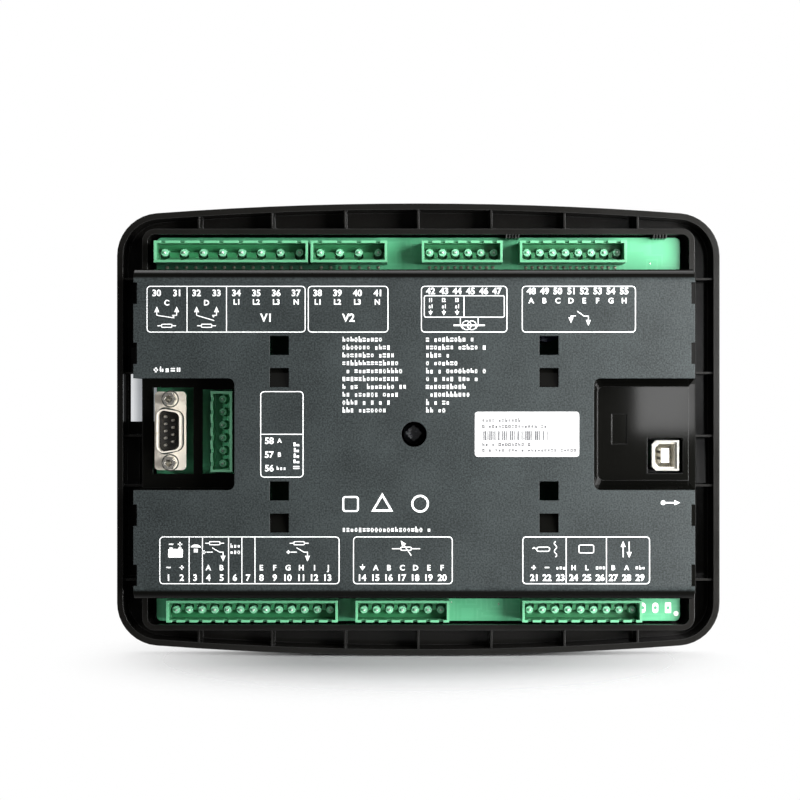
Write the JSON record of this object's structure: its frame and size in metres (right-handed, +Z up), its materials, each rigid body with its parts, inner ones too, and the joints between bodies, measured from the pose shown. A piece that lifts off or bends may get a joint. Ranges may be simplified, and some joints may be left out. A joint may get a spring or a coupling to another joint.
{
  "type": "genset controller",
  "caption": "Panel-mount generator-set controller: bowed black bezel, raised rear cover with side bays, plug-in terminal headers, serial and data ports, display and push keys.",
  "frame": {"origin": "middle of the panel cut-out, in the plane of the rim that bears on the panel's front", "axes": "+Z up, +Y out of the front (display) face, +X to the right seen from behind"},
  "size_m": [0.24, 0.0421, 0.18],
  "materials": {
    "bezel_plastic": "satin black moulded plastic",
    "cover_plastic": "fine spark-textured charcoal plastic",
    "overlay_film": "printed matt film",
    "clear_lens": "clear acrylic",
    "lcd_glass": "grey-green display glass",
    "holder_plastic": "white moulded plastic",
    "key_rubber": "silicone rubber",
    "key_grey": "satin grey plastic",
    "key_red": "satin red plastic",
    "key_green": "satin green plastic",
    "lamp_lens": "clear light pipe",
    "board_laminate": "green solder mask over laminate",
    "black_nylon": "black moulded nylon",
    "relay_case": "black epoxy case",
    "coil_case": "blue potted core",
    "capacitor_can": "sleeved aluminium can",
    "terminal_plastic": "green moulded terminal plastic",
    "tinned_metal": "tin-plated brass",
    "plated_steel": "nickel-plated steel",
    "gold_contact": "gold flash",
    "tongue_plastic": "cream moulded plastic",
    "card_white": "white card",
    "screw_steel": "zinc-plated steel",
    "label_film": "white label film"
  },
  "bodies": {
    "housing": {"front_bezel": "bezel_plastic", "front_overlay": "overlay_film", "display_lens": "clear_lens", "lcd_panel": "lcd_glass", "lcd_holder": "holder_plastic", "key_mat": "key_rubber", "status_lamps": "lamp_lens", "front_board": "board_laminate", "board_link": "black_nylon", "main_board": "board_laminate", "board_screws": "screw_steel", "power_relays": "relay_case", "current_transformers": "coil_case", "processor_chip": "black_nylon", "supply_capacitors": "capacitor_can", "serial_port_shell": "plated_steel", "serial_port_insert": "black_nylon", "serial_port_pins": "gold_contact", "serial_port_jacks": "plated_steel", "data_port_shell": "plated_steel", "data_port_tongue": "tongue_plastic", "data_port_contacts": "gold_contact", "insert_card": "card_white", "rear_cover": "cover_plastic", "cover_screw": "screw_steel", "rating_label": "label_film", "supply_header": "terminal_plastic", "supply_pins": "tinned_metal", "sender_header": "terminal_plastic", "sender_pins": "tinned_metal", "bus_header": "terminal_plastic", "bus_pins": "tinned_metal", "generator_header": "terminal_plastic", "generator_pins": "tinned_metal", "mains_header": "terminal_plastic", "mains_pins": "tinned_metal", "current_header": "terminal_plastic", "current_pins": "tinned_metal", "input_header": "terminal_plastic", "input_pins": "tinned_metal", "link_header": "terminal_plastic", "link_pins": "tinned_metal"},
    "stop_key": {"stop_key": "key_red"},
    "manual_key": {"manual_key": "key_grey"},
    "test_key": {"test_key": "key_grey"},
    "auto_key": {"auto_key": "key_grey"},
    "mute_key": {"mute_key": "key_grey"},
    "start_key": {"start_key": "key_green"},
    "open_key": {"open_key": "key_grey"},
    "close_key": {"close_key": "key_grey"},
    "up_key": {"up_key": "key_grey"},
    "down_key": {"down_key": "key_grey"},
    "left_key": {"left_key": "key_grey"},
    "right_key": {"right_key": "key_grey"},
    "enter_key": {"enter_key": "key_grey"}
  },
  "joints": [
    {"name": "stop_key_press", "type": "slide", "parent": "housing", "child": "stop_key", "axis": [0, -1, 0], "range_m": [0, 0.0012], "stiffness_N_per_m": 1200},
    {"name": "manual_key_press", "type": "slide", "parent": "housing", "child": "manual_key", "axis": [0, -1, 0], "range_m": [0, 0.0012], "stiffness_N_per_m": 1200},
    {"name": "test_key_press", "type": "slide", "parent": "housing", "child": "test_key", "axis": [0, -1, 0], "range_m": [0, 0.0012], "stiffness_N_per_m": 1200},
    {"name": "auto_key_press", "type": "slide", "parent": "housing", "child": "auto_key", "axis": [0, -1, 0], "range_m": [0, 0.0012], "stiffness_N_per_m": 1200},
    {"name": "mute_key_press", "type": "slide", "parent": "housing", "child": "mute_key", "axis": [0, -1, 0], "range_m": [0, 0.0012], "stiffness_N_per_m": 1200},
    {"name": "start_key_press", "type": "slide", "parent": "housing", "child": "start_key", "axis": [0, -1, 0], "range_m": [0, 0.0012], "stiffness_N_per_m": 1200},
    {"name": "open_key_press", "type": "slide", "parent": "housing", "child": "open_key", "axis": [0, -1, 0], "range_m": [0, 0.0012], "stiffness_N_per_m": 1200},
    {"name": "close_key_press", "type": "slide", "parent": "housing", "child": "close_key", "axis": [0, -1, 0], "range_m": [0, 0.0012], "stiffness_N_per_m": 1200},
    {"name": "up_key_press", "type": "slide", "parent": "housing", "child": "up_key", "axis": [0, -1, 0], "range_m": [0, 0.0012], "stiffness_N_per_m": 1200},
    {"name": "down_key_press", "type": "slide", "parent": "housing", "child": "down_key", "axis": [0, -1, 0], "range_m": [0, 0.0012], "stiffness_N_per_m": 1200},
    {"name": "left_key_press", "type": "slide", "parent": "housing", "child": "left_key", "axis": [0, -1, 0], "range_m": [0, 0.0012], "stiffness_N_per_m": 1200},
    {"name": "right_key_press", "type": "slide", "parent": "housing", "child": "right_key", "axis": [0, -1, 0], "range_m": [0, 0.0012], "stiffness_N_per_m": 1200},
    {"name": "enter_key_press", "type": "slide", "parent": "housing", "child": "enter_key", "axis": [0, -1, 0], "range_m": [0, 0.0012], "stiffness_N_per_m": 1200}
  ]
}
